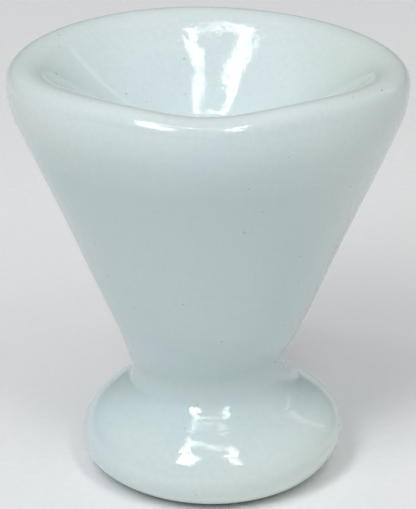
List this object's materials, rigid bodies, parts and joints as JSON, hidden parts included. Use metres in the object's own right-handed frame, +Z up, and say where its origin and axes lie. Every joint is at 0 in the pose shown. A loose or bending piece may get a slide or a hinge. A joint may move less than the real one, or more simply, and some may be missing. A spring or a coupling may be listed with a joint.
{
  "type": "eye bath",
  "caption": "Small pedestal eye-wash cup in white glazed porcelain: oval flared bowl with a thick, softly dipped lip, a short collar and a round bun foot.",
  "frame": {"origin": "on the surface that the foot stands on, at the centre of the object's bounding box", "axes": "+Z up; +X along the oval mouth's long axis; -Y towards the front, where the lip dips"},
  "size_m": [0.05, 0.0396, 0.0558],
  "materials": {
    "glazed_bowl": "gloss",
    "glazed_slip": "gloss",
    "glazed_foot": "gloss"
  },
  "bodies": {
    "root": {"bowl": "glazed_bowl", "joining_collar": "glazed_slip", "foot": "glazed_foot"}
  },
  "joints": []
}
